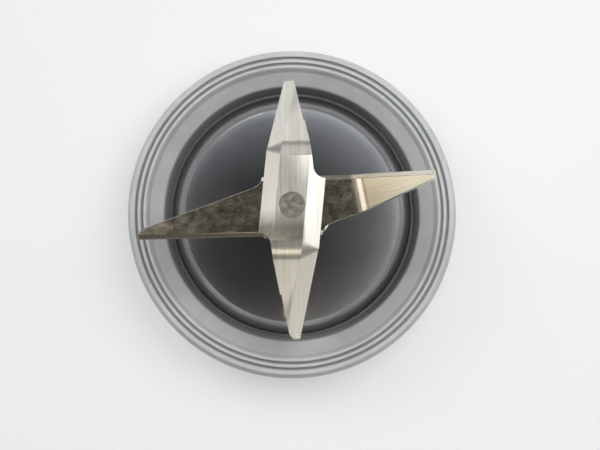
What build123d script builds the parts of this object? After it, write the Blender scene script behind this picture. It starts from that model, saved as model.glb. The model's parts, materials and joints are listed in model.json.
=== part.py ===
"""Blender blade unit: two bent blades on a spindle that runs in a sealed, domed base.

Millimetres, +Z up. The origin is on the spindle axis, at the foot of the base.
"""
import os
from math import asin, copysign, cos, degrees, radians, sin, sqrt, tan

from build123d import *

os.makedirs("parts", exist_ok=True)

# Fits
fit = 0.03
running_clearance = 0.04
end_play = 0.1

# Carrier: the moulded base
skirt_radius = 33.0
skirt_wall = 2.4
skirt_height = 5.0
spigot_height = 3.3
shoulder_step = 0.97
flange_overhang = 3.0
flange_thickness = 2.5
well_radius = 14.0
well_wall = 2.5
well_ceiling = 2.5
well_rim = 2.6
boss_radius = 8.5
boss_height = 4.7
rib_count = 8
rib_thickness = 1.6
rib_setback = 1.0

# Dome: the pressed steel floor of the jar
dome_sheet = 0.8
dome_land_margin = 0.5
dome_shoulder_slope = 42.45
dome_foot_radius = 5.2
dome_foot_slope = 82.0
dome_wall_height = 0.6
dome_flange_inset = 0.6
dome_gap = 2.35

# Seal ring
seal_height = 6.2
seal_wall = 3.3
seal_lean = 0.9
seal_flank_drop = 3.4
seal_lip_thickness = 1.6
seal_groove_insets = (1.35, 2.73)
seal_groove_width = 0.62
seal_groove_depth = 0.75
seal_rib_chamfer = 0.2
seal_step_insets = (3.6, 4.6)
seal_step_depth = 1.1
seal_band_inset = 7.9
seal_band_drop = 2.2
seal_band_round = 0.9
seal_foot_inset = 9.05

# Spindle and its bearings
shaft_radius = 3.0
shaft_setback = 0.45
shaft_foot_chamfer = 0.4
collar_radius = 5.5
collar_height = 7.3
collar_chamfer = 0.6
neck_radius = 2.5
neck_flat = 2.1
peen_radius = 2.95
peen_depth = 0.7
bush_radius = 4.6
upper_bush_length = 6.2
lower_bush_length = 5.4
housing_radius = 6.0
housing_flange_radius = 8.5
housing_flange_thickness = 3.2
housing_flange_chamfer = 0.6
housing_below_nut = 0.5
gasket_thickness = 1.0
shaft_seal_radius = 6.2
shaft_seal_thickness = 2.2
shaft_seal_lip = 0.6
thrust_washer_radius = 6.8
thrust_washer_thickness = 0.7
nut_width = 18.0
nut_sides = 6
nut_height = 4.5
nut_bevel = 30.0
nut_washer_margin = 0.1
nut_washer_thickness = 0.8
clip_radius = 5.0
clip_groove_radius = 2.3
clip_thickness = 0.8
clip_mouth = 3.4

# Drive coupling
coupling_radius = 12.0
coupling_height = 4.9
coupling_plate = 2.3
coupling_gap = 0.2
coupling_hub_wall = 1.2
dog_count = 6
dog_inner_radius = 7.6
dog_angle = 20.0
insert_width = 9.0
insert_sides = 6
insert_setback = 0.5

# Blades: the outline is the same after half a turn. The lead of an arm is its cutting side, the
# trail its back, and a pair is (distance out from the axis, offset across the arm).
blade_sheet = 1.6
bend_steps = 8
facet_runout = 8.0

upper_heading = 90.0
upper_wing = (-6.25, 7.55)
upper_lead = (12.0, 5.81)
upper_flare = (8.2, 4.85)
upper_flare_sag = 0.55
upper_trail = (12.0, 4.42)
upper_end = 29.65
upper_end_lead = 2.1
upper_end_trail = 0.75
upper_facet_depth = 1.25
upper_slope = 35.0
upper_far_bend = 13.2
upper_far_radii = (6.2, 2.7)
upper_far_facet = 3.2
upper_far_tip = (30.75, 30.25)
upper_far_round = 0.2
upper_near_bend = 10.35
upper_near_radii = (8.0, 2.2)
upper_near_facet = 3.8
upper_near_tip = (29.75, 30.9)
upper_near_round = 1.6
upper_notch = 19.9
upper_notch_depth = 0.28

lower_heading = 11.5
lower_wing = (-5.4, 7.75)
lower_flare = (7.6, 5.7)
lower_flare_sag = 0.45
lower_trail = (9.2, 5.42)
lower_tip = 35.2
lower_tip_lead = 0.65
lower_tip_trail = 1.35
lower_facet_width = 0.9
lower_facet_depth = 0.9
lower_bend_radii = (3.6, 3.6)
lower_slope = -38.0
lower_bend = 16.1
lower_tip_cut = (1.3, 0.75)
lower_tip_round = 0.25

# Radii, from the skirt outwards and back in to the dome
shoulder_radius = skirt_radius + shoulder_step
flange_radius = skirt_radius + flange_overhang
seal_flank_radius = flange_radius + seal_wall
seal_rim_radius = seal_flank_radius - seal_lean
seal_foot_radius = seal_rim_radius - seal_foot_inset
dome_shoulder_radius = seal_foot_radius - dome_gap
dome_crown_radius = dome_shoulder_radius / sin(radians(dome_shoulder_slope))
dome_land_radius = housing_flange_radius + dome_land_margin

# Heights, from the foot upwards
dome_seat = skirt_height + flange_thickness
dome_flange_top = dome_seat + dome_sheet
foot_centre = dome_flange_top + dome_wall_height - dome_foot_radius * cos(radians(dome_foot_slope))
foot_to_crown = dome_crown_radius - dome_foot_radius
crown_centre = foot_centre - foot_to_crown * cos(radians(dome_shoulder_slope))
dome_top = crown_centre + sqrt(dome_crown_radius**2 - dome_land_radius**2)
gasket_top = dome_top + gasket_thickness
housing_top = gasket_top + housing_flange_thickness
thrust_top = housing_top + thrust_washer_thickness
collar_foot = thrust_top + end_play
lower_blade_foot = collar_foot + collar_height
upper_blade_foot = lower_blade_foot + blade_sheet
blade_top = upper_blade_foot + blade_sheet
seal_top = dome_flange_top + seal_height

# Heights, from the dome downwards
boss_top = dome_top - dome_sheet
well_top = boss_top - boss_height
well_depth = well_top - well_ceiling
nut_top = well_depth - nut_washer_thickness
nut_foot = nut_top - nut_height
housing_foot = nut_foot - housing_below_nut
lower_thrust_foot = housing_foot - thrust_washer_thickness
clip_top = lower_thrust_foot - end_play
clip_foot = clip_top - clip_thickness
coupling_top = clip_foot - coupling_gap
coupling_foot = coupling_top - coupling_height
shaft_foot = coupling_foot + shaft_setback


def ring(inner_radius, outer_radius, foot, top):
    """Section of a plain ring, to be turned about the upright axis."""
    with BuildSketch(Plane.XZ) as section:
        with Locations((inner_radius, foot)):
            Rectangle(outer_radius - inner_radius, top - foot, align=(Align.MIN, Align.MIN))
    return section.sketch


# Carrier: skirt, flange and web in one piece with the well that the coupling turns in
well_outer = well_radius + well_wall
sleeve_bore = housing_radius + fit
with BuildPart() as carrier:
    with BuildSketch(Plane.XZ):
        with BuildLine():
            Polyline(
                (sleeve_bore, well_depth),
                (well_radius, well_depth),
                (well_radius, well_rim),
                (well_outer, well_rim),
                (well_outer, skirt_height),
                (skirt_radius - skirt_wall, skirt_height),
                (skirt_radius - skirt_wall, 0),
                (skirt_radius, 0),
                (skirt_radius, spigot_height),
                (shoulder_radius, spigot_height),
                (shoulder_radius, skirt_height),
                (flange_radius, skirt_height),
                (flange_radius, dome_seat),
                (well_outer, dome_seat),
                (well_outer, well_top),
                (boss_radius, well_top),
                (boss_radius, boss_top),
                (sleeve_bore, boss_top),
                close=True,
            )
        make_face()
    revolve(axis=Axis.Z)
    rib_inner = well_radius + well_wall / 2
    rib_length = skirt_radius - skirt_wall / 2 - rib_inner
    with BuildSketch(Plane.XY.offset(well_rim + rib_setback)):
        with PolarLocations(rib_inner + rib_length / 2, rib_count):
            Rectangle(rib_length, rib_thickness)
    extrude(amount=skirt_height - well_rim)
carrier.part.label = "carrier"

# Dome: a crown arc, a tighter foot arc and a flange, drawn as the upper face and its parallel
def on_arc(centre, radius, slope):
    """Point of an arc where its tangent has a slope."""
    return centre[0] + radius * sin(radians(slope)), centre[1] + radius * cos(radians(slope))


def dome_face(inset):
    """Points of the dome's face at an inset: land, mid crown, shoulder, mid foot, bend and toe."""
    crown = dome_crown_radius - inset
    foot = dome_foot_radius - inset
    land = (sqrt(crown**2 - (dome_top - inset - crown_centre) ** 2), dome_top - inset)
    land_slope = degrees(asin(land[0] / crown))
    middle = on_arc((0, crown_centre), crown, (land_slope + dome_shoulder_slope) / 2)
    shoulder = on_arc((0, crown_centre), crown, dome_shoulder_slope)
    foot_middle = on_arc((foot_axis, foot_centre), foot, (dome_shoulder_slope + dome_foot_slope) / 2)
    bend = on_arc((foot_axis, foot_centre), foot, dome_foot_slope)
    flange_z = dome_flange_top - inset
    toe = (bend[0] + (bend[1] - flange_z) / tan(radians(dome_foot_slope)), flange_z)
    return land, middle, shoulder, foot_middle, bend, toe


dome_flange_radius = flange_radius - dome_flange_inset
foot_axis = foot_to_crown * sin(radians(dome_shoulder_slope))
with BuildPart() as dome:
    with BuildSketch(Plane.XZ):
        with BuildLine():
            for inset in (0, dome_sheet):
                land, middle, shoulder, foot_middle, bend, toe = dome_face(inset)
                Line((sleeve_bore, land[1]), land)
                ThreePointArc(land, middle, shoulder)
                ThreePointArc(shoulder, foot_middle, bend)
                Line(bend, toe)
                Line(toe, (dome_flange_radius, toe[1]))
            Line((sleeve_bore, dome_top), (sleeve_bore, boss_top))
            Line((dome_flange_radius, dome_flange_top), (dome_flange_radius, dome_seat))
        make_face()
    revolve(axis=Axis.Z)
dome.part.label = "dome"

# Seal ring: a channel that grips the flange, with ribs, a sloping band and an inner wall on top
seal_foot = skirt_height - seal_lip_thickness - fit
seal_lip_radius = shoulder_radius + fit
seal_step_foot = seal_top - seal_step_depth
seal_band_foot = seal_top - seal_band_drop
with BuildPart() as seal_ring:
    with BuildSketch(Plane.XZ):
        with BuildLine():
            Polyline(
                (seal_foot_radius, dome_flange_top + fit),
                (seal_rim_radius - seal_band_inset, seal_band_foot),
                (seal_rim_radius - seal_step_insets[1], seal_step_foot),
                (seal_rim_radius - seal_step_insets[0], seal_top),
                (seal_rim_radius, seal_top),
                (seal_flank_radius, seal_top - seal_flank_drop),
                (seal_flank_radius, seal_foot),
                (seal_lip_radius, seal_foot),
                (seal_lip_radius, skirt_height - fit),
                (flange_radius + fit, skirt_height - fit),
                (flange_radius + fit, dome_flange_top + fit),
                close=True,
            )
        make_face()
        for groove_inset in seal_groove_insets:
            with Locations((seal_rim_radius - groove_inset, seal_top)):
                Rectangle(seal_groove_width, 2 * seal_groove_depth, mode=Mode.SUBTRACT)
        fillet([v for v in vertices() if abs(v.Y - seal_band_foot) < fit], seal_band_round)
        chamfer([v for v in vertices() if abs(v.Y - seal_top) < fit], seal_rib_chamfer)
    revolve(axis=Axis.Z)
seal_ring.part.label = "seal_ring"

# Bearing housing: flanged sleeve with a pocket for the shaft seal
pocket_foot = housing_top - shaft_seal_thickness
with BuildPart() as bearing_housing:
    with BuildSketch(Plane.XZ):
        with BuildLine():
            Polyline(
                (bush_radius + fit, housing_foot),
                (housing_radius, housing_foot),
                (housing_radius, gasket_top),
                (housing_flange_radius, gasket_top),
                (housing_flange_radius, housing_top - housing_flange_chamfer),
                (housing_flange_radius - housing_flange_chamfer, housing_top),
                (shaft_seal_radius + fit, housing_top),
                (shaft_seal_radius + fit, pocket_foot),
                (bush_radius + fit, pocket_foot),
                close=True,
            )
        make_face()
    revolve(axis=Axis.Z)
bearing_housing.part.label = "bearing_housing"

with BuildPart() as housing_gasket:
    revolve(ring(sleeve_bore, housing_flange_radius, dome_top, gasket_top), axis=Axis.Z)
housing_gasket.part.label = "housing_gasket"

# Clamp under the well's ceiling: washer, and a nut with its lower corners turned off
nut_corner_radius = nut_width / 2 / cos(radians(180 / nut_sides))
nut_washer_radius = nut_corner_radius + nut_washer_margin
with BuildPart() as nut_washer:
    revolve(ring(sleeve_bore, nut_washer_radius, nut_top, well_depth), axis=Axis.Z)
nut_washer.part.label = "nut_washer"

with BuildPart() as housing_nut:
    with BuildSketch(Plane.XY.offset(nut_foot)):
        RegularPolygon(nut_width / 2, nut_sides, major_radius=False)
        Circle(sleeve_bore, mode=Mode.SUBTRACT)
    extrude(amount=nut_height)
    with BuildSketch(Plane.XZ):
        with BuildLine():
            Polyline(
                (nut_width / 2, nut_foot),
                (nut_width, nut_foot),
                (nut_width, nut_foot + nut_width / 2 * tan(radians(nut_bevel))),
                close=True,
            )
        make_face()
    revolve(axis=Axis.Z, mode=Mode.SUBTRACT)
housing_nut.part.label = "housing_nut"

# Bearings, felt and seal, stacked in the sleeve
bore_radius = shaft_radius + running_clearance
upper_bush_foot = pocket_foot - upper_bush_length
lower_bush_top = housing_foot + lower_bush_length
with BuildPart() as upper_bush:
    revolve(ring(bore_radius, bush_radius, upper_bush_foot, pocket_foot), axis=Axis.Z)
upper_bush.part.label = "upper_bush"

with BuildPart() as lower_bush:
    revolve(ring(bore_radius, bush_radius, housing_foot, lower_bush_top), axis=Axis.Z)
lower_bush.part.label = "lower_bush"

with BuildPart() as oil_felt:
    revolve(ring(bore_radius, bush_radius, lower_bush_top, upper_bush_foot), axis=Axis.Z)
oil_felt.part.label = "oil_felt"

with BuildPart() as shaft_seal:
    with BuildSketch(Plane.XZ):
        with BuildLine():
            Polyline(
                (bore_radius, housing_top - shaft_seal_lip),
                (bore_radius + shaft_seal_lip, pocket_foot),
                (shaft_seal_radius, pocket_foot),
                (shaft_seal_radius, housing_top),
                (bore_radius, housing_top),
                close=True,
            )
        make_face()
    revolve(axis=Axis.Z)
shaft_seal.part.label = "shaft_seal"

with BuildPart() as upper_thrust_washer:
    revolve(ring(bore_radius, thrust_washer_radius, housing_top, thrust_top), axis=Axis.Z)
upper_thrust_washer.part.label = "upper_thrust_washer"

with BuildPart() as lower_thrust_washer:
    revolve(ring(bore_radius, housing_radius, lower_thrust_foot, housing_foot), axis=Axis.Z)
lower_thrust_washer.part.label = "lower_thrust_washer"

# Shaft: collar under the blades, flatted neck through them, and an end peened over flush
with BuildPart() as shaft:
    with BuildSketch(Plane.XZ):
        with BuildLine():
            Polyline(
                (0, shaft_foot),
                (shaft_radius - shaft_foot_chamfer, shaft_foot),
                (shaft_radius, shaft_foot + shaft_foot_chamfer),
                (shaft_radius, clip_foot),
                (clip_groove_radius, clip_foot),
                (clip_groove_radius, clip_top),
                (shaft_radius, clip_top),
                (shaft_radius, collar_foot),
                (collar_radius - collar_chamfer, collar_foot),
                (collar_radius, collar_foot + collar_chamfer),
                (collar_radius, lower_blade_foot),
                (0, lower_blade_foot),
                close=True,
            )
        make_face()
    revolve(axis=Axis.Z)
    with BuildSketch(Plane.XY.offset(lower_blade_foot)):
        Circle(neck_radius)
        Rectangle(2 * neck_flat, 2 * neck_radius, mode=Mode.INTERSECT)
    extrude(amount=blade_top - lower_blade_foot)
    with BuildSketch(Plane.XZ):
        with BuildLine():
            Polyline(
                (0, blade_top - peen_depth),
                (neck_flat, blade_top - peen_depth),
                (peen_radius, blade_top),
                (0, blade_top),
                close=True,
            )
        make_face()
    revolve(axis=Axis.Z)
shaft.part.label = "shaft"

with BuildPart() as retaining_clip:
    with BuildSketch(Plane.XY.offset(clip_foot)):
        Circle(clip_radius)
        Circle(clip_groove_radius + fit, mode=Mode.SUBTRACT)
        with Locations((clip_radius / 2, 0)):
            Rectangle(clip_radius, clip_mouth, mode=Mode.SUBTRACT)
    extrude(amount=clip_thickness)
retaining_clip.part.label = "retaining_clip"

# Drive coupling: a plate with dogs, moulded round a six-sided steel insert on the shaft
with BuildPart() as coupling_insert:
    with BuildSketch(Plane.XY.offset(coupling_foot + insert_setback)):
        RegularPolygon(insert_width / 2, insert_sides, major_radius=False)
        Circle(shaft_radius + fit, mode=Mode.SUBTRACT)
    extrude(amount=coupling_height - insert_setback)
coupling_insert.part.label = "coupling_insert"

dog_height = coupling_height - coupling_plate
dog_reach = coupling_radius * tan(radians(dog_angle / 2))
with BuildPart() as drive_coupling:
    with BuildSketch(Plane.XY.offset(coupling_top - coupling_plate)):
        Circle(coupling_radius)
    extrude(amount=coupling_plate)
    with BuildSketch(Plane.XY.offset(coupling_foot)):
        with PolarLocations(0, dog_count):
            Polygon((0, 0), (coupling_radius, -dog_reach), (coupling_radius, dog_reach), align=None)
        Circle(coupling_radius, mode=Mode.INTERSECT)
        Circle(dog_inner_radius, mode=Mode.SUBTRACT)
        Circle(insert_width / 2 + coupling_hub_wall)
    extrude(amount=dog_height)
    with BuildSketch(Plane.XY.offset(coupling_foot)):
        RegularPolygon(insert_width / 2 + fit, insert_sides, major_radius=False)
    extrude(amount=coupling_height, mode=Mode.SUBTRACT)
drive_coupling.part.label = "drive_coupling"


# Blades. An arm is drawn in its own frame: x runs out from the axis along the arm's heading, y runs
# across it towards the cutting side, and z is 0 on the upper face of the sheet.
def along_line(start, end, distance):
    """Offset at a distance, on the straight line through two (distance, offset) pairs."""
    return start[1] + (end[1] - start[1]) * (distance - start[0]) / (end[0] - start[0])


def arm_plane(heading, height):
    """Level plane at a height, with its x axis along an arm."""
    return Plane((0, 0, height), x_dir=(cos(radians(heading)), sin(radians(heading)), 0))


def section_plane(level, distance, drop, slope):
    """Plane square across an arm that slopes down, at a distance and a drop from its hub."""
    run = level.x_dir * cos(radians(slope)) - level.z_dir * sin(radians(slope))
    origin = level.origin + level.x_dir * distance - level.z_dir * drop
    return Plane(origin, x_dir=level.y_dir, z_dir=run)


def bend_point(bend, slope, radius, share):
    """Distance and drop of the upper face, part of the way round a bend."""
    swept = radians(abs(slope) * share)
    start = bend - radius * tan(radians(abs(slope) / 2))
    return start + radius * sin(swept), copysign(radius * (1 - cos(swept)), slope)


def bend_span(bend, slope, radius):
    """Distances at which a bend starts and ends."""
    return bend_point(bend, slope, radius, 0)[0], bend_point(bend, slope, radius, 1)[0]


def bend_plane(level, bend, slope, radius, share):
    """Plane square across an arm, part of the way round its bend."""
    return section_plane(level, *bend_point(bend, slope, radius, share), slope * share)


def blade_hub(level, wing, flare, sag, ends):
    """Hub with two wings. Each end gives an arm's corners, from its back round to its lead."""
    with BuildSketch(level) as outline:
        with BuildLine():
            for end, sign in zip(ends, (1, -1)):
                corners = [(sign * along, sign * across) for along, across in (*end, wing)]
                Polyline((sign * flare[0], -sign * flare[1]), *corners)
                start, stop = Vector(*corners[-1]), Vector(-sign * flare[0], sign * flare[1])
                hollow = (stop - start).rotate(Axis.Z, 90).normalized() * sag
                ThreePointArc(start, (start + stop) / 2 + hollow, stop)
        make_face()
    extrude(outline.sketch, amount=-blade_sheet)


def grind_facet(level, lead_line, start, end, facet_width, facet_depth):
    """Grind a slope along a cutting edge, between two distances on the edge's line."""
    lead = along_line(*lead_line, start)
    path = level.x_dir * (end - start) + level.y_dir * (along_line(*lead_line, end) - lead)
    with BuildSketch(section_plane(level, start, 0, 0)) as wedge:
        with BuildLine():
            Polyline(
                (lead - facet_width, 0),
                (lead + facet_width, -2 * facet_depth),
                (lead + facet_width, facet_depth),
                (lead - facet_width, facet_depth),
                close=True,
            )
        make_face()
    extrude(wedge.sketch, amount=path.length, dir=path, mode=Mode.SUBTRACT)


def bent_arm(level, bend, slope, radii, root, outline, facet, tip_round):
    """Arm beyond a bend, cut to an outline given in plan, and the bend that joins it to its hub.

    The bend has one radius from the back to the facet's crease, and tightens to another at the lead.
    Root gives the offsets of lead, crease and back at the hub. The outline runs from the arm's back
    round its tip to its lead and its crease.
    """
    across = bend_plane(level, bend, slope, radii[0], 1)
    sloped = Plane(across.origin, x_dir=across.z_dir, z_dir=across.y_dir)
    corners = [((along - outline[0][0]) / cos(radians(slope)), offset) for along, offset in outline]
    lead_end, lead_start, crease_start = corners[-3:]
    with BuildSketch(sloped) as blank:
        with BuildLine():
            Polyline(*corners, close=True)
        make_face()
        fillet(vertices().sort_by_distance(corners[-4])[0], tip_round)
    extrude(blank.sketch, amount=-blade_sheet)
    grind_facet(sloped, (lead_start, lead_end), lead_start[0] - fit, lead_end[0] + fit, *facet)
    foot = (lead_start[1], crease_start[1], corners[0][1])
    flats, edges = [], []
    for step in range(bend_steps + 1):
        share = step / bend_steps
        lead, crease, back = [start + (end - start) * share for start, end in zip(root, foot)]
        flat, edge = [bend_plane(level, bend, slope, radius, share) for radius in radii]
        crease_top = flat.from_local_coords((crease, 0))
        crease_foot = flat.from_local_coords((crease, -blade_sheet))
        back_points = [flat.from_local_coords((back, -depth)) for depth in (blade_sheet, 0)]
        lead_points = [edge.from_local_coords((lead, -depth)) for depth in (facet[1], blade_sheet)]
        flats.append(Face(Wire.make_polygon((crease_top, crease_foot, *back_points))))
        edges.append(Face(Wire.make_polygon((crease_top, *lead_points, crease_foot))))
    loft(flats, ruled=True)
    loft(edges, ruled=True)


def neck_hole(height):
    """Flatted hole for the shaft's neck, through one blade."""
    with BuildSketch(Plane.XY.offset(height)) as hole:
        Circle(neck_radius + fit)
        Rectangle(2 * (neck_flat + fit), 4 * neck_radius, mode=Mode.INTERSECT)
    extrude(hole.sketch, amount=blade_sheet, mode=Mode.SUBTRACT)


# Upper blade: wide ground facets and both arms bent down, one bend further out than the other
upper_lead_line = (upper_wing, upper_lead)
upper_trail_line = (upper_flare, upper_trail)
upper_arms = []
for turn, bend, radii, facet_width, tip, tip_round in (
    (0, upper_far_bend, upper_far_radii, upper_far_facet, upper_far_tip, upper_far_round),
    (180, upper_near_bend, upper_near_radii, upper_near_facet, upper_near_tip, upper_near_round),
):
    level = arm_plane(upper_heading + turn, blade_top)
    flat_start, flat_end = bend_span(bend, upper_slope, radii[0])
    edge_start, edge_end = bend_span(bend, upper_slope, radii[1])
    root = (
        along_line(*upper_lead_line, edge_start),
        along_line(*upper_lead_line, flat_start) - facet_width,
        -along_line(*upper_trail_line, flat_start),
    )
    hub_end = ((flat_start, root[2]), (flat_start, root[1]), (edge_start, root[0]))
    lead_line = ((bend, along_line(*upper_lead_line, bend)), (upper_end, upper_end_lead))
    trail_line = ((bend, along_line(*upper_trail_line, bend)), (upper_end, upper_end_trail))
    notch_trail = along_line(*trail_line, upper_notch)
    outline = (
        (flat_end, -along_line(*trail_line, flat_end)),
        (upper_notch, -notch_trail),
        (upper_notch, upper_notch_depth - notch_trail),
        (tip[1], upper_notch_depth - along_line(*trail_line, tip[1])),
        (tip[0], along_line(*lead_line, tip[0])),
        (edge_end, along_line(*lead_line, edge_end)),
        (flat_end, along_line(*lead_line, flat_end) - facet_width),
    )
    facet = (facet_width, upper_facet_depth)
    upper_arms.append((level, bend, radii, root, hub_end, outline, facet, tip_round))

with BuildPart() as upper_blade:
    hub_ends = [hub_end for _, _, _, _, hub_end, _, _, _ in upper_arms]
    blade_hub(upper_arms[0][0], upper_wing, upper_flare, upper_flare_sag, hub_ends)
    for level, bend, _, _, _, _, facet, _ in upper_arms:
        grind_facet(level, upper_lead_line, bend, upper_wing[0] - facet_runout, *facet)
    for level, bend, radii, root, _, outline, facet, tip_round in upper_arms:
        bent_arm(level, bend, upper_slope, radii, root, outline, facet, tip_round)
    neck_hole(upper_blade_foot)
    with BuildSketch(Plane.XZ):
        with BuildLine():
            Polyline(
                (0, blade_top - peen_depth),
                (neck_flat + fit, blade_top - peen_depth),
                (peen_radius + fit, blade_top),
                (0, blade_top),
                close=True,
            )
        make_face()
    revolve(axis=Axis.Z, mode=Mode.SUBTRACT)
upper_blade.part.label = "upper_blade"

# Lower blade: a narrow ground edge, one arm bent up and one flat to a tip with its corner cut off
lower_facet = (lower_facet_width, lower_facet_depth)
lower_lead_line = (lower_wing, (lower_tip, lower_tip_lead))
lower_trail_line = (lower_trail, (lower_tip, lower_tip_trail))
lower_level = arm_plane(lower_heading, upper_blade_foot)
lower_back = (lower_trail[0], -lower_trail[1])
lower_start, lower_stop = bend_span(lower_bend, lower_slope, lower_bend_radii[0])
lower_root = (
    along_line(*lower_lead_line, lower_start),
    along_line(*lower_lead_line, lower_start) - lower_facet_width,
    -along_line(*lower_trail_line, lower_start),
)
bent_tip = lower_bend + (lower_tip - lower_bend) * cos(radians(lower_slope))
bent_lead = ((lower_bend, along_line(*lower_lead_line, lower_bend)), (bent_tip, lower_tip_lead))
bent_trail = ((lower_bend, along_line(*lower_trail_line, lower_bend)), (bent_tip, lower_tip_trail))
lower_cut_at = lower_tip - lower_tip_cut[0]
lower_lead_stop = along_line(*bent_lead, lower_stop)
lower_ends = (
    (lower_back, (lower_start, lower_root[2]), (lower_start, lower_root[0])),
    (
        lower_back,
        (lower_cut_at, -along_line(*lower_trail_line, lower_cut_at)),
        (lower_tip, lower_tip_cut[1] - lower_tip_trail),
        (lower_tip, lower_tip_lead),
    ),
)
lower_outline = (
    (lower_stop, -along_line(*bent_trail, lower_stop)),
    (bent_tip, -lower_tip_trail),
    (bent_tip, lower_tip_lead),
    (lower_stop, lower_lead_stop),
    (lower_stop, lower_lead_stop - lower_facet_width),
)
with BuildPart() as lower_blade:
    blade_hub(lower_level, lower_wing, lower_flare, lower_flare_sag, lower_ends)
    for turn, outer_end in ((0, lower_bend), (180, lower_tip + fit)):
        level = arm_plane(lower_heading + turn, upper_blade_foot)
        grind_facet(level, lower_lead_line, outer_end, lower_wing[0] - facet_runout, *lower_facet)
    bent_arm(
        lower_level, lower_bend, lower_slope, lower_bend_radii, lower_root, lower_outline, lower_facet,
        lower_tip_round,
    )
    neck_hole(lower_blade_foot)
lower_blade.part.label = "lower_blade"

pieces = (
    carrier, dome, seal_ring, bearing_housing, housing_gasket, nut_washer, housing_nut, upper_bush,
    lower_bush, oil_felt, shaft_seal, upper_thrust_washer, lower_thrust_washer, shaft,
    retaining_clip, coupling_insert, drive_coupling, upper_blade, lower_blade,
)
for piece in pieces:
    export_step(piece.part, f"parts/{piece.part.label}.step")
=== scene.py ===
"""Looks of the blender blade unit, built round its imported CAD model. Metres, +Z up."""
import json
from math import cos, pi, radians, sin, sqrt, tan

import bmesh
import bpy
from mathutils import Matrix, Vector

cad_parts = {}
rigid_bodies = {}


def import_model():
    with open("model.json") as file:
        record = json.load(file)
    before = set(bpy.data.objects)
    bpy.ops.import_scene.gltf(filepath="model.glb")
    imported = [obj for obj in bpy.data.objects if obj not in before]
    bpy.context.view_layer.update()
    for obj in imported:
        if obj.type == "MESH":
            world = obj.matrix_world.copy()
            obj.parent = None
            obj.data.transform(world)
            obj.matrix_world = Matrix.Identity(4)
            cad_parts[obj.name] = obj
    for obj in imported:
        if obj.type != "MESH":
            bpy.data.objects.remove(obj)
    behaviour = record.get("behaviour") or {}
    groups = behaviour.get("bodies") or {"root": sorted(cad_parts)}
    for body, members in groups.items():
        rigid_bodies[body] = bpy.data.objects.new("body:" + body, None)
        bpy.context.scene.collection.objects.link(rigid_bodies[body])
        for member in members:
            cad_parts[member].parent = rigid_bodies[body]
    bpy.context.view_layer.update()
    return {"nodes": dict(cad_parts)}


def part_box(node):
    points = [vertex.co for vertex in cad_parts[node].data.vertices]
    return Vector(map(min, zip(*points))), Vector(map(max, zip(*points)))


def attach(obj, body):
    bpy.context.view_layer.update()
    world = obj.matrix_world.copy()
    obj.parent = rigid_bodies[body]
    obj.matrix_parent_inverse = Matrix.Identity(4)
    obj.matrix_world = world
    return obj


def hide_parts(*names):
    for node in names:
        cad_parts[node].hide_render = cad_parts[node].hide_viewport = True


for left_over in list(bpy.data.objects):
    bpy.data.objects.remove(left_over)
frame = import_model()


# Carrier: the moulded base under the dome, in black glass-filled nylon. It is injection moulded in
# one piece, and its corners have the small radius that a mould leaves.
mm = 0.001


def in_place(piece, body, node):
    """Put a finished piece into the scene, on its body and in its CAD piece's place."""
    bpy.context.scene.collection.objects.link(piece)
    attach(piece, body)
    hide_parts(node)


def softened(node, body, material, edge, crease=28):
    """Copy of a CAD piece with its corners broken to a width, and slighter creases kept crisp."""
    corner = radians(28)
    bm = bmesh.new()
    bm.from_mesh(frame["nodes"][node].data)
    bmesh.ops.remove_doubles(bm, verts=bm.verts, dist=0.0005 * mm)
    bmesh.ops.dissolve_limit(bm, angle_limit=radians(0.3), verts=bm.verts, edges=bm.edges)
    for face in bm.faces:
        face.smooth = True
    for line in bm.edges:
        line.smooth = not radians(crease) < line.calc_face_angle(0) < corner
    mesh = bpy.data.meshes.new(f"{node}_finished")
    bm.to_mesh(mesh)
    bm.free()
    mesh.materials.append(material)
    piece = bpy.data.objects.new(f"{node}_finished", mesh)
    bevel = piece.modifiers.new("broken_edges", "BEVEL")
    bevel.limit_method = "ANGLE"
    bevel.angle_limit = corner
    bevel.width = edge * mm
    bevel.segments = 2
    level = piece.modifiers.new("level_faces", "WEIGHTED_NORMAL")
    level.weight = 100
    level.keep_sharp = True
    in_place(piece, body, node)


def place(tree, kind, inputs=(), **settings):
    """Place one shader node with its settings. An input is a value, or a socket to link from."""
    made = tree.nodes.new("ShaderNode" + kind)
    for name, value in settings.items():
        setattr(made, name, value)
    for name, value in dict(inputs).items():
        if isinstance(value, bpy.types.NodeSocket):
            tree.links.new(value, made.inputs[name])
        else:
            made.inputs[name].default_value = value
    return made


def effect(name, outputs):
    """New shared surface effect: its node tree, the point it is asked at, and its way out."""
    group = bpy.data.node_groups.new(name, "ShaderNodeTree")
    group.interface.new_socket("Vector", in_out="INPUT", socket_type="NodeSocketVector")
    for output in outputs:
        group.interface.new_socket(output, in_out="OUTPUT", socket_type="NodeSocketFloat")
    point = group.nodes.new("NodeGroupInput").outputs["Vector"]
    return group, point, group.nodes.new("NodeGroupOutput")


def finish(name, **values):
    """New material with plain values on its shader: its material, node tree, shader and points."""
    material = bpy.data.materials.new(name)
    material.use_nodes = True
    tree = material.node_tree
    shader = tree.nodes["Principled BSDF"]
    for socket, value in values.items():
        shader.inputs[socket].default_value = value
    return material, tree, shader, place(tree, "TexCoord").outputs["Object"]


def group_outputs(tree, group, point):
    """Outputs of a shared effect at a point."""
    made = tree.nodes.new("ShaderNodeGroup")
    made.node_tree = group
    tree.links.new(point, made.inputs["Vector"])
    return made.outputs


def between(tree, mask, low, high):
    """Colour that runs from one to another over the middle of a mask."""
    ramp = place(tree, "ValToRGB", {"Fac": mask})
    ramp.color_ramp.elements[0].position, ramp.color_ramp.elements[0].color = 0.35, (*low, 1)
    ramp.color_ramp.elements[1].position, ramp.color_ramp.elements[1].color = 0.65, (*high, 1)
    return ramp.outputs["Color"]


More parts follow.
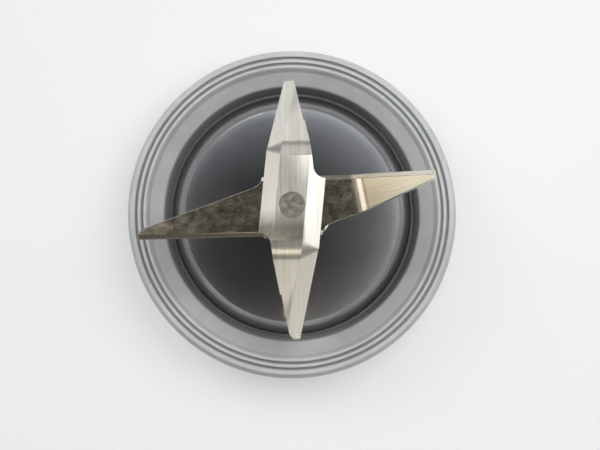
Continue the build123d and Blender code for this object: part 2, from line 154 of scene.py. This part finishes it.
def ranged(tree, mask, low, high):
    """Value that runs from one to another as a mask goes from 0 to 1."""
    return place(tree, "MapRange", {"Value": mask, "To Min": low, "To Max": high}).outputs["Result"]


def relief(tree, height, depth):
    """Normal of a surface whose height runs over a depth in millimetres."""
    return place(tree, "Bump", {"Height": height, "Distance": depth * mm}).outputs["Normal"]


moulded, point, out = effect("moulded_grain", ("Grain", "Cloud"))
fine = place(moulded, "TexNoise", {"Vector": point, "Scale": 2600, "Detail": 3})
broad = place(moulded, "TexNoise", {"Vector": point, "Scale": 90, "Detail": 5, "Roughness": 0.6})
moulded.links.new(fine.outputs["Fac"], out.inputs["Grain"])
moulded.links.new(broad.outputs["Fac"], out.inputs["Cloud"])

carrier_nylon, tree, shader, point = finish("carrier_nylon")
grain = group_outputs(tree, moulded, point)
tree.links.new(between(tree, grain["Cloud"], (0.022, 0.022, 0.024), (0.038, 0.038, 0.04)),
               shader.inputs["Base Color"])
tree.links.new(ranged(tree, grain["Cloud"], 0.42, 0.62), shader.inputs["Roughness"])
tree.links.new(relief(tree, grain["Grain"], 0.02), shader.inputs["Normal"])
softened("carrier", "base", carrier_nylon, edge=0.25)


# Dome: the floor of the jar, pressed from stainless sheet and polished to a mirror. Its foot lies
# on the carrier's flange, under the seal ring.
def arc(centre, radius, start, end, steps):
    """Points on an arc, from one slope to another in degrees."""
    slopes = [radians(start + (end - start) * step / steps) for step in range(steps + 1)]
    return [(centre[0] + radius * sin(slope), centre[1] + radius * cos(slope)) for slope in slopes]


def turned(name, body, node, profile, material, sharp_angle):
    """Turn a closed profile of (radius, height) points, in millimetres, about the spindle axis."""
    steps = 256
    bm = bmesh.new()
    rings = []
    for step in range(steps):
        turn = 2 * pi * step / steps
        rings.append([bm.verts.new((r * cos(turn) * mm, r * sin(turn) * mm, z * mm)) for r, z in profile])
    for one, following in zip(rings, rings[1:] + rings[:1]):
        for index in range(len(profile)):
            bm.faces.new((one[index - 1], one[index], following[index], following[index - 1]))
    bmesh.ops.recalc_face_normals(bm, faces=bm.faces)
    mesh = bpy.data.meshes.new(name)
    bm.to_mesh(mesh)
    bm.free()
    mesh.shade_smooth()
    mesh.set_sharp_from_angle(angle=radians(sharp_angle))
    mesh.materials.append(material)
    in_place(bpy.data.objects.new(name, mesh), body, node)


def from_axis(tree, point):
    """Distance from the spindle axis."""
    flat = place(tree, "VectorMath", {0: point, 1: (1, 1, 0)}, operation="MULTIPLY").outputs["Vector"]
    return place(tree, "VectorMath", {0: flat}, operation="LENGTH").outputs["Value"]


def over(tree, value, start, end):
    """Mask that rises from 0 to 1 as a value runs from a start to an end."""
    return place(tree, "MapRange", {"Value": value, "From Min": start, "From Max": end}).outputs["Result"]


def blend(tree, mask, low, high, blend_type="MIX"):
    """Colour that runs from one to another as a mask goes from 0 to 1."""
    colours = {"Factor": mask, 6: low, 7: high}
    return place(tree, "Mix", colours, data_type="RGBA", blend_type=blend_type).outputs[2]


dome_low, dome_high = (Vector(corner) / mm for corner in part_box("dome"))
dome_sheet = 0.8
dome_bore = 6.03
dome_land = 9.0
dome_shoulder = 27.0
dome_shoulder_slope = 42.45
dome_foot = 5.2
dome_foot_slope = 82.0
dome_crown = dome_shoulder / sin(radians(dome_shoulder_slope))
crown_centre = dome_high.z - sqrt(dome_crown**2 - dome_land**2)
foot_axis = (dome_crown - dome_foot) * sin(radians(dome_shoulder_slope))
foot_centre = crown_centre + (dome_crown - dome_foot) * cos(radians(dome_shoulder_slope))
dome_faces = []
for inset in (0, dome_sheet):
    land_z = dome_high.z - inset
    land_r = sqrt((dome_crown - inset) ** 2 - (land_z - crown_centre) ** 2)
    land_slope = 90 - Vector((land_r, land_z - crown_centre)).angle(Vector((1, 0))) * 180 / pi
    face = [(dome_bore, land_z)]
    face += arc((0, crown_centre), dome_crown - inset, land_slope, dome_shoulder_slope, 60)
    face += arc((foot_axis, foot_centre), dome_foot - inset, dome_shoulder_slope, dome_foot_slope, 16)[1:]
    flange_top = dome_low.z + dome_sheet - inset
    toe = face[-1][0] + (face[-1][1] - flange_top) / tan(radians(dome_foot_slope))
    face += [(toe, flange_top), (dome_high.x, flange_top)]
    dome_faces.append(face)

polished, point, out = effect("polished_sheet", ("Rings", "Smear"))
swirl = place(polished, "TexNoise", {"W": from_axis(polished, point), "Scale": 4000, "Detail": 2},
              noise_dimensions="1D")
smear = place(polished, "TexNoise", {"Vector": point, "Scale": 60, "Detail": 6, "Distortion": 0.8})
polished.links.new(swirl.outputs["Fac"], out.inputs["Rings"])
polished.links.new(smear.outputs["Fac"], out.inputs["Smear"])

dome_polish, tree, shader, point = finish("dome_polish", Metallic=1)
marks = group_outputs(tree, polished, point)
shine = between(tree, marks["Smear"], (0.5, 0.505, 0.525), (0.6, 0.6, 0.61))
# The foot is painted darker: a painted reflection of the seal's shaded inner wall.
painted_foot_shade = over(tree, from_axis(tree, point), (dome_shoulder - 0.7) * mm, (dome_shoulder + 0.4) * mm)
sheet = blend(tree, painted_foot_shade, shine, (0.37, 0.37, 0.39, 1))
# The toe and flange under the seal are painted darkest: painted shade in the gap.
corner = over(tree, from_axis(tree, point), (dome_shoulder + 1.2) * mm, (dome_shoulder + 1.6) * mm)
sheet = blend(tree, corner, sheet, (0.16, 0.16, 0.17, 1))
tree.links.new(sheet, shader.inputs["Base Color"])
dull = place(tree, "Mix", {"Factor": painted_foot_shade, "A": ranged(tree, marks["Smear"], 0.04, 0.13), "B": 0.45})
tree.links.new(dull.outputs["Result"], shader.inputs["Roughness"])
tree.links.new(relief(tree, marks["Rings"], 0.0004), shader.inputs["Normal"])
dome_profile = dome_faces[0] + dome_faces[1][::-1]
turned("dome_polished", "base", "dome", dome_profile, dome_polish, sharp_angle=35)


# Seal ring: grey rubber, moulded with three ribs on top and a channel that is stretched over the
# rim. A sloping band runs down from the ribs to the dome.
def rounded(corners, steps):
    """Profile from (radius, height, rounding) corners, each rounded by an arc."""
    points = []
    for index, (r, z, rounding) in enumerate(corners):
        here = Vector((r, z))
        if rounding == 0:
            points.append((r, z))
            continue
        back = (Vector(corners[index - 1][:2]) - here).normalized()
        ahead = (Vector(corners[(index + 1) % len(corners)][:2]) - here).normalized()
        half = back.angle(ahead) / 2
        centre = here + (back + ahead).normalized() * rounding / sin(half)
        start = here + back * rounding / tan(half) - centre
        end = here + ahead * rounding / tan(half) - centre
        for step in range(steps + 1):
            share = step / steps
            points.append(tuple(centre + (start * (1 - share) + end * share).normalized() * rounding))
    return points


def times(tree, one, other):
    """Product of two values or masks."""
    return place(tree, "Math", {0: one, 1: other}, operation="MULTIPLY").outputs["Value"]


seal_low, seal_high = (Vector(corner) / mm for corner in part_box("seal_ring"))
seal_draft = 0.9
seal_rim = seal_high.x - seal_draft
seal_top = seal_high.z
seal_rib_round = 0.26
seal_grooves = (seal_rim - 2.73, seal_rim - 1.35)
seal_groove_half = 0.31
seal_groove_depth = 0.75
seal_groove_rounds = (0.2, 0.24)
seal_step = seal_rim - 3.6
seal_band_head = (seal_rim - 4.6, seal_top - 1.1)
seal_band_foot = (seal_rim - 7.9, seal_top - 2.2)
seal_toe = seal_rim - 9.05
seal_skirt_inside = 34.0
channel_wall = 36.03
channel_floor = 4.97
channel_ceiling = 8.33
seal_groove_floor = seal_top - seal_groove_depth
seal_corners = [
    (seal_toe, channel_ceiling, 0),
    (*seal_band_foot, 0.9),
    (*seal_band_head, 0.5),
    (seal_step, seal_top, seal_rib_round),
]
for groove in seal_grooves:
    seal_corners += [
        (groove - seal_groove_half, seal_top, seal_groove_rounds[0]),
        (groove - seal_groove_half, seal_groove_floor, seal_groove_rounds[1]),
        (groove + seal_groove_half, seal_groove_floor, seal_groove_rounds[1]),
        (groove + seal_groove_half, seal_top, seal_groove_rounds[0]),
    ]
seal_corners += [
    (seal_rim, seal_top, seal_rib_round),
    (seal_high.x, seal_top - 3.4, 1.2),
    (seal_high.x, seal_low.z, 0.4),
    (seal_skirt_inside, seal_low.z, 0.3),
    (seal_skirt_inside, channel_floor, 0),
    (channel_wall, channel_floor, 0),
    (channel_wall, channel_ceiling, 0),
]
seal_grey, tree, shader, point = finish("seal_grey")
grain = group_outputs(tree, moulded, point)
height = place(tree, "SeparateXYZ", {"Vector": point}).outputs["Z"]
# The groove floors between the ribs are painted darker: painted shade in the recesses.
deep = over(tree, height, (seal_top - 0.15) * mm, seal_groove_floor * mm)
outside = over(tree, from_axis(tree, point), (seal_step - 0.6) * mm, seal_step * mm)
inside = over(tree, from_axis(tree, point), (seal_grooves[1] + 0.5) * mm, (seal_grooves[1] + 0.4) * mm)
kept = times(tree, outside, inside)
groove_shade = times(tree, deep, kept)
ribs = between(tree, grain["Cloud"], (0.48, 0.497, 0.493), (0.56, 0.577, 0.573))
band = between(tree, grain["Cloud"], (0.35, 0.362, 0.358), (0.42, 0.432, 0.428))
clean = blend(tree, outside, band, ribs)
# The inner wall below the band is painted dark: painted shade under the band's edge.
corner = over(tree, from_axis(tree, point), (seal_rim - 7.7) * mm, (seal_rim - 8.2) * mm)
clean = blend(tree, corner, clean, (0.22, 0.225, 0.23, 1))
shaded_seal = blend(tree, groove_shade, clean, (0.26, 0.27, 0.265, 1))
tree.links.new(shaded_seal, shader.inputs["Base Color"])
tree.links.new(ranged(tree, grain["Cloud"], 0.44, 0.62), shader.inputs["Roughness"])
tree.links.new(relief(tree, grain["Grain"], 0.008), shader.inputs["Normal"])
seal_profile = rounded(seal_corners, steps=6)
turned("seal_ring_moulded", "base", "seal_ring", seal_profile, seal_grey, sharp_angle=50)


# Bearing housing and gasket: a flanged sleeve turned from stainless bar. It clamps a black rubber
# washer on the dome, so that nothing leaks down the hole.
def dressed(node, material):
    """Give a CAD piece whose shape is right the finish of the real one."""
    for slot in frame["nodes"][node].material_slots:
        slot.material = material


lathed, point, out = effect("lathe_marks", ("Marks", "Tarnish"))
radius = from_axis(lathed, point)
height = place(lathed, "SeparateXYZ", {"Vector": point}).outputs["Z"]
feed = place(lathed, "CombineXYZ", {"X": radius, "Y": height}).outputs["Vector"]
marks = place(lathed, "TexNoise", {"Vector": feed, "Scale": 5200, "Detail": 2}, noise_dimensions="2D")
tarnish = place(lathed, "TexNoise", {"Vector": point, "Scale": 220, "Detail": 5})
lathed.links.new(marks.outputs["Fac"], out.inputs["Marks"])
lathed.links.new(tarnish.outputs["Fac"], out.inputs["Tarnish"])


def lathed_steel(name, dull, clean, roughness, depth):
    """Turned metal that runs from a dull to a clean colour, with marks of the tool round it."""
    material, tree, shader, point = finish(name, Metallic=1)
    turning = group_outputs(tree, lathed, point)
    tree.links.new(between(tree, turning["Tarnish"], dull, clean), shader.inputs["Base Color"])
    tree.links.new(ranged(tree, turning["Tarnish"], roughness + 0.1, roughness), shader.inputs["Roughness"])
    tree.links.new(relief(tree, turning["Marks"], depth), shader.inputs["Normal"])
    return material


def black_rubber(name):
    """Black rubber with a fine bloom on it."""
    material, tree, shader, point = finish(name)
    grain = group_outputs(tree, moulded, point)
    tree.links.new(between(tree, grain["Cloud"], (0.018, 0.018, 0.018), (0.04, 0.04, 0.04)),
                   shader.inputs["Base Color"])
    tree.links.new(ranged(tree, grain["Cloud"], 0.6, 0.8), shader.inputs["Roughness"])
    tree.links.new(relief(tree, grain["Grain"], 0.01), shader.inputs["Normal"])
    return material


housing_steel = lathed_steel("housing_steel", (0.46, 0.455, 0.44), (0.6, 0.6, 0.59),
                             roughness=0.26, depth=0.006)
softened("bearing_housing", "base", housing_steel, edge=0.12)
gasket_rubber = black_rubber("gasket_rubber")
dressed("housing_gasket", gasket_rubber)

# Nut and washer: plated steel, under the ceiling of the carrier's well. They pull the housing down
# and clamp dome and carrier between them.
nut_steel = lathed_steel("nut_steel", (0.42, 0.41, 0.39), (0.58, 0.58, 0.57),
                         roughness=0.3, depth=0.005)
softened("nut_washer", "base", nut_steel, edge=0.1)
softened("housing_nut", "base", nut_steel, edge=0.15)

# Bearings: two bushes of sintered bronze with an oiled felt ring between them, all pushed into the
# housing. A rubber ring seals the top, and nylon washers take the thrust at both ends.
bush_bronze, tree, shader, point = finish("bush_bronze", Metallic=1)
grain = group_outputs(tree, moulded, point)
tree.links.new(between(tree, grain["Grain"], (0.3, 0.18, 0.08), (0.58, 0.4, 0.2)),
               shader.inputs["Base Color"])
tree.links.new(ranged(tree, grain["Cloud"], 0.35, 0.5), shader.inputs["Roughness"])
tree.links.new(relief(tree, grain["Grain"], 0.015), shader.inputs["Normal"])
dressed("upper_bush", bush_bronze)
dressed("lower_bush", bush_bronze)

felt_wool, tree, shader, point = finish("felt_wool")
strands = place(tree, "TexNoise", {"Vector": point, "Scale": 3000, "Detail": 6, "Distortion": 2})
tree.links.new(between(tree, strands.outputs["Fac"], (0.32, 0.26, 0.17), (0.66, 0.6, 0.48)),
               shader.inputs["Base Color"])
tree.links.new(ranged(tree, strands.outputs["Fac"], 0.8, 1.0), shader.inputs["Roughness"])
tree.links.new(relief(tree, strands.outputs["Fac"], 0.08), shader.inputs["Normal"])
dressed("oil_felt", felt_wool)

dressed("shaft_seal", gasket_rubber)

washer_nylon, tree, shader, point = finish("washer_nylon")
grain = group_outputs(tree, moulded, point)
tree.links.new(between(tree, grain["Cloud"], (0.66, 0.64, 0.58), (0.78, 0.77, 0.73)),
               shader.inputs["Base Color"])
tree.links.new(ranged(tree, grain["Cloud"], 0.4, 0.55), shader.inputs["Roughness"])
tree.links.new(relief(tree, grain["Grain"], 0.006), shader.inputs["Normal"])
dressed("upper_thrust_washer", washer_nylon)
dressed("lower_thrust_washer", washer_nylon)

# Shaft and clip: ground stainless bar with a collar under the blades. Its end is hammered over them,
# which leaves a dark, dented disc, and a spring clip in a groove holds it from below.
shaft_end = Vector(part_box("shaft")[1]).z / mm
shaft_steel, tree, shader, point = finish("shaft_steel", Metallic=1)
turning = group_outputs(tree, lathed, point)
height = place(tree, "SeparateXYZ", {"Vector": point}).outputs["Z"]
on_end = over(tree, height, (shaft_end - 0.2) * mm, (shaft_end - 0.1) * mm)
dents = place(tree, "TexVoronoi", {"Vector": point, "Scale": 900, "Randomness": 1}, feature="SMOOTH_F1")
dark_mottle = place(tree, "TexNoise", {"Vector": point, "Scale": 900, "Detail": 5, "Roughness": 0.65})
bright = between(tree, turning["Tarnish"], (0.45, 0.44, 0.42), (0.58, 0.57, 0.55))
dark = between(tree, dark_mottle.outputs["Fac"], (0.19, 0.178, 0.158), (0.37, 0.35, 0.315))
skin = blend(tree, on_end, bright, dark)
tree.links.new(skin, shader.inputs["Base Color"])
tree.links.new(ranged(tree, on_end, 0.25, 0.42), shader.inputs["Roughness"])
dented = times(tree, dents.outputs["Distance"], on_end)
tree.links.new(relief(tree, dented, 0.12), shader.inputs["Normal"])
softened("shaft", "rotor", shaft_steel, edge=0.1)

clip_steel = lathed_steel("clip_steel", (0.2, 0.2, 0.21), (0.34, 0.34, 0.35),
                          roughness=0.35, depth=0.003)
softened("retaining_clip", "rotor", clip_steel, edge=0.08)

# Drive coupling: dogs of black glass-filled nylon, moulded round a six-sided steel insert that is
# pressed on the shaft's lower end. The motor's own dogs stand between these.
insert_steel = lathed_steel("insert_steel", (0.38, 0.37, 0.36), (0.54, 0.54, 0.53),
                            roughness=0.34, depth=0.006)
softened("coupling_insert", "rotor", insert_steel, edge=0.1)

coupling_nylon, tree, shader, point = finish("coupling_nylon")
grain = group_outputs(tree, moulded, point)
tree.links.new(between(tree, grain["Cloud"], (0.02, 0.02, 0.022), (0.042, 0.042, 0.044)),
               shader.inputs["Base Color"])
tree.links.new(ranged(tree, grain["Cloud"], 0.36, 0.56), shader.inputs["Roughness"])
tree.links.new(relief(tree, grain["Grain"], 0.03), shader.inputs["Normal"])
softened("drive_coupling", "rotor", coupling_nylon, edge=0.2)

# Lower blade: stainless strip, blanked and bent, with a thin ground edge. Its rolled face is a mottled
# brown, and fine scratches and pale specks lie on it. From the bend out the same steel is painted golden,
# then pale towards the tip: a painted reflection.
rolled, point, out = effect("rolled_strip", ("Lines", "Streaks", "Stain", "Specks"))
for output, length, width, detail in (("Lines", 12, 0.22, 3), ("Streaks", 20, 0.9, 4)):
    stretch = place(rolled, "Mapping", {"Vector": point, "Scale": (length * mm, width * mm, length * mm)},
                    vector_type="TEXTURE").outputs["Vector"]
    noise = place(rolled, "TexNoise", {"Vector": stretch, "Scale": 1, "Detail": detail}).outputs["Fac"]
    rolled.links.new(noise, out.inputs[output])
stain = place(rolled, "TexNoise", {"Vector": point, "Scale": 420, "Detail": 7, "Roughness": 0.68})
rolled.links.new(stain.outputs["Fac"], out.inputs["Stain"])
specks = place(rolled, "TexNoise", {"Vector": point, "Scale": 1900, "Detail": 3, "Roughness": 0.7})
rolled.links.new(over(rolled, specks.outputs["Fac"], 0.58, 0.7), out.inputs["Specks"])

lower_heading = 11.5
lower_bend = 16.1
lower_steel, tree, shader, point = finish("lower_blade_steel", Metallic=1)
along = place(tree, "Mapping", {"Vector": point, "Rotation": (0, 0, radians(lower_heading))},
              vector_type="TEXTURE").outputs["Vector"]
strip = group_outputs(tree, rolled, along)
brown = between(tree, strip["Stain"], (0.28, 0.247, 0.187), (0.54, 0.487, 0.4))
flecked = blend(tree, strip["Specks"], brown, (0.8, 0.77, 0.68, 1))
out_along = place(tree, "SeparateXYZ", {"Vector": along}).outputs["X"]
arm = place(tree, "Math", {0: out_along}, operation="SIGN").outputs["Value"]
lean = place(tree, "SeparateXYZ", {"Vector": place(tree, "TexCoord").outputs["Normal"]}).outputs["Y"]
lean = times(tree, lean, arm)
# Faces tilted to one side of each arm are painted dark, painted shade on the ground facet, and those tilted
# the other way pale, a painted highlight.
ground = over(tree, lean, 0.2, 0.3)
cut = over(tree, lean, -0.3, -0.4)
skin = blend(tree, ground, flecked, (0.2, 0.18, 0.145, 1))
skin = blend(tree, cut, skin, (0.8, 0.775, 0.71, 1))
# From the bend out, golden then pale: a painted reflection on the same steel.
golden = between(tree, strip["Lines"], (0.5, 0.45, 0.36), (0.62, 0.565, 0.46))
pale = between(tree, strip["Lines"], (0.68, 0.645, 0.56), (0.82, 0.785, 0.7))
outer = over(tree, out_along, (lower_bend + 2) * mm, (lower_bend + 11) * mm)
golden = blend(tree, outer, golden, pale)
bent = over(tree, out_along, (lower_bend - 2.2) * mm, (lower_bend - 1) * mm)
skin = blend(tree, bent, skin, golden)
tree.links.new(skin, shader.inputs["Base Color"])
smooth = ranged(tree, strip["Stain"], 0.12, 0.22)
dull = place(tree, "Mix", {"Factor": bent, "A": smooth, "B": 0.3}).outputs["Result"]
tree.links.new(dull, shader.inputs["Roughness"])
tree.links.new(relief(tree, strip["Lines"], 0.006), shader.inputs["Normal"])
softened("lower_blade", "rotor", lower_steel, edge=0.12, crease=10)

# Upper blade: stainless strip with both cutting sides ground to wide facets, then bent down. It is
# brushed along its length and clamped on the lower one by the hammered end of the shaft.
upper_heading = 90
upper_steel, tree, shader, point = finish("upper_blade_steel", Metallic=1)
along = place(tree, "Mapping", {"Vector": point, "Rotation": (0, 0, radians(upper_heading))},
              vector_type="TEXTURE").outputs["Vector"]
strip = group_outputs(tree, rolled, along)
flat = between(tree, strip["Streaks"], (0.6, 0.585, 0.54), (0.78, 0.765, 0.72))
lined = between(tree, strip["Lines"], (0.91, 0.905, 0.895), (1, 1, 1))
flat = blend(tree, 1, flat, lined, blend_type="MULTIPLY")
# The ground facets are painted lighter than the brushed flat: partly their ground finish, partly a painted
# highlight.
facet = between(tree, strip["Lines"], (0.77, 0.75, 0.705), (0.87, 0.855, 0.815))
tilt = place(tree, "SeparateXYZ", {"Vector": place(tree, "TexCoord").outputs["Normal"]}).outputs["X"]
tilt = place(tree, "Math", {0: tilt}, operation="ABSOLUTE").outputs["Value"]
ground = over(tree, tilt, 0.15, 0.25)
brushed = blend(tree, ground, flat, facet)
# The hub's flat is darker and mottled over its south end, short of the right facet.
east, north = place(tree, "SeparateXYZ", {"Vector": point}).outputs[:2]
reached = over(tree, north, -1 * mm, -5 * mm)
passed = over(tree, north, -9 * mm, -7.5 * mm)
patch = times(tree, reached, passed)
near = over(tree, east, 3.2 * mm, 2.2 * mm)
patch = times(tree, patch, near)
dark_mottle = times(tree, patch, ranged(tree, strip["Stain"], 0.45, 1.25))
skin = blend(tree, dark_mottle, brushed, (0.18, 0.17, 0.14, 1))
tree.links.new(skin, shader.inputs["Base Color"])
dull = place(tree, "Mix", {"Factor": ground, "A": ranged(tree, strip["Streaks"], 0.28, 0.38), "B": 0.42})
tree.links.new(dull.outputs["Result"], shader.inputs["Roughness"])
tree.links.new(relief(tree, strip["Lines"], 0.011), shader.inputs["Normal"])
softened("upper_blade", "rotor", upper_steel, edge=0.12, crease=10)

# Floor: a plain pale painted sheet, a hair below the unit's foot. It looks evenly pale to the camera
# and in the polished steel, and keeps the unit's soft shadow.
floor_drop = 0.2
floor_mesh = bpy.data.meshes.new("floor")
bm = bmesh.new()
bmesh.ops.create_grid(bm, x_segments=8, y_segments=8, size=3)
bm.to_mesh(floor_mesh)
bm.free()
floor = bpy.data.objects.new("floor", floor_mesh)
floor.location.z = -floor_drop * mm
bpy.context.scene.collection.objects.link(floor)
floor_paint, tree, shader, point = finish("floor_paint", Roughness=0.7)
shader.inputs["Base Color"].default_value = (0.88, 0.88, 0.87, 1)
sight = place(tree, "LightPath").outputs
seen = place(tree, "Math", {0: sight["Is Camera Ray"], 1: sight["Is Glossy Ray"]}, operation="ADD")
seen = place(tree, "Math", {0: seen.outputs["Value"], 1: sight["Is Transmission Ray"]}, operation="ADD")
half = place(tree, "MapRange", {"Value": seen.outputs["Value"], "To Max": 0.5}).outputs["Result"]
pale = place(tree, "Emission", {"Color": (0.92, 0.92, 0.91, 1)}).outputs["Emission"]
paint = place(tree, "MixShader", {0: half, 1: shader.outputs["BSDF"], 2: pale}).outputs["Shader"]
tree.links.new(paint, tree.nodes["Material Output"].inputs["Surface"])
floor_mesh.materials.append(floor_paint)


# Studio light: a wide soft panel overhead with a side and a back lamp, which light matt surfaces only.
# Strips and small lamps show only as highlights on the steel, most of them behind the blade arms in
# the dome. The surround is dark overhead and pale round the horizon.
def lamp(name, azimuth, rise, far, width, height, power, colour, lights_gloss, lights_matt):
    """Soft box that faces the unit from a distance, at an azimuth and a rise in degrees."""
    light = bpy.data.lights.new(name, "AREA")
    light.shape = "RECTANGLE"
    light.size = width
    light.size_y = height
    light.energy = power
    light.color = colour
    holder = bpy.data.objects.new(name, light)
    level = cos(radians(rise))
    towards = Vector((level * cos(radians(azimuth)), level * sin(radians(azimuth)), sin(radians(rise))))
    holder.location = towards * far
    holder.rotation_euler = (-towards).to_track_quat("-Z", "Y").to_euler()
    holder.visible_glossy = lights_gloss
    holder.visible_diffuse = lights_matt
    bpy.context.scene.collection.objects.link(holder)


for name, azimuth, rise, far, width, height, power in (
    ("overhead", 40, 84, 1, 1.9, 1.9, 6.4),
    ("side", 35, 62, 0.35, 0.22, 0.22, 0.58),
    ("back", 145, 40, 1, 0.5, 0.5, 3.0),
):
    lamp(name, azimuth, rise, far, width, height, power, (1, 1, 1), lights_gloss=False, lights_matt=True)
for name, azimuth, rise, far, width, height, power, colour in (
    ("east_strip", 17, 59, 1, 0.24, 0.7, 2.55, (1, 0.99, 0.96)),
    ("west_strip", 177, 60.5, 1, 0.24, 0.7, 1.75, (1, 0.97, 0.92)),
    ("north_strip", 91, 57, 1, 0.22, 0.72, 0.62, (1, 0.98, 0.94)),
    ("north_low", 92, 13, 1, 0.2, 0.16, 0.26, (1, 0.95, 0.85)),
    ("north_west_low", 120, 3, 1, 0.5, 0.1, 0.2, (1, 0.93, 0.82)),
    ("south_high", 270, 56, 1, 0.11, 0.11, 0.5, (1, 0.92, 0.76)),
    ("south_low", 271, 20, 1, 0.16, 0.16, 0.34, (1, 0.95, 0.84)),
    ("south_east_low", -62, 3, 1, 0.5, 0.1, 0.36, (1, 0.93, 0.8)),
    ("west_low", 182, 21, 1, 0.18, 0.18, 0.38, (1, 0.93, 0.78)),
):
    lamp(name, azimuth, rise, far, width, height, power, colour, lights_gloss=True, lights_matt=False)

world = bpy.data.worlds.new("studio")
bpy.context.scene.world = world
world.use_nodes = True
tree = world.node_tree
way = place(tree, "TexCoord").outputs["Generated"]
parts = place(tree, "SeparateXYZ", {"Vector": way}).outputs
rise = place(tree, "ValToRGB", {"Fac": parts["Z"]})
levels = rise.color_ramp.elements
levels[0].position, levels[0].color = 0.0, (0.95, 0.95, 0.95, 1)
levels[1].position, levels[1].color = 1.0, (0.05, 0.05, 0.05, 1)
for at, level in (
    (0.05, 0.7), (0.1, 0.45), (0.139, 0.37), (0.242, 0.25), (0.358, 0.2), (0.485, 0.15), (0.707, 0.1),
):
    step = levels.new(at)
    step.color = (level, level, level, 1)
side = place(tree, "VectorMath", {0: way, 1: (0.48, 0.42, 0)}, operation="DOT_PRODUCT").outputs["Value"]
cast = place(tree, "MapRange", {"Value": side, "From Min": -1, "From Max": 1, "To Max": 2}).outputs["Result"]
tint = place(tree, "ValToRGB", {"Fac": over(tree, parts["Y"], -1, 1)})
tint.color_ramp.elements[0].color = (1, 0.95, 0.88, 1)
tint.color_ramp.elements[1].color = (0.83, 0.87, 0.93, 1)
glow = blend(tree, 1, rise.outputs["Color"], tint.outputs["Color"], blend_type="MULTIPLY")
tree.links.new(glow, tree.nodes["Background"].inputs["Color"])
tree.links.new(cast, tree.nodes["Background"].inputs["Strength"])

# Camera: a long lens that looks down from nearly straight above, a little towards the near side. It
# stands close enough for the raised blades to look larger than the rim below them.
camera_at = Vector((0, -0.029, 0.4))
camera_aim = Vector((0.00197, -0.00198, 0))
camera = bpy.data.objects.new("camera", bpy.data.cameras.new("camera"))
camera.data.sensor_width = 36
camera.data.lens = 97.66
camera.location = camera_at
ahead = (camera_aim - camera_at).normalized()
right = ahead.cross(Vector((0, 1, 0))).normalized()
camera.rotation_euler = Matrix((right, right.cross(ahead), -ahead)).transposed().to_euler()
bpy.context.scene.collection.objects.link(camera)
bpy.context.scene.camera = camera
bpy.context.scene.view_settings.view_transform = "Standard"
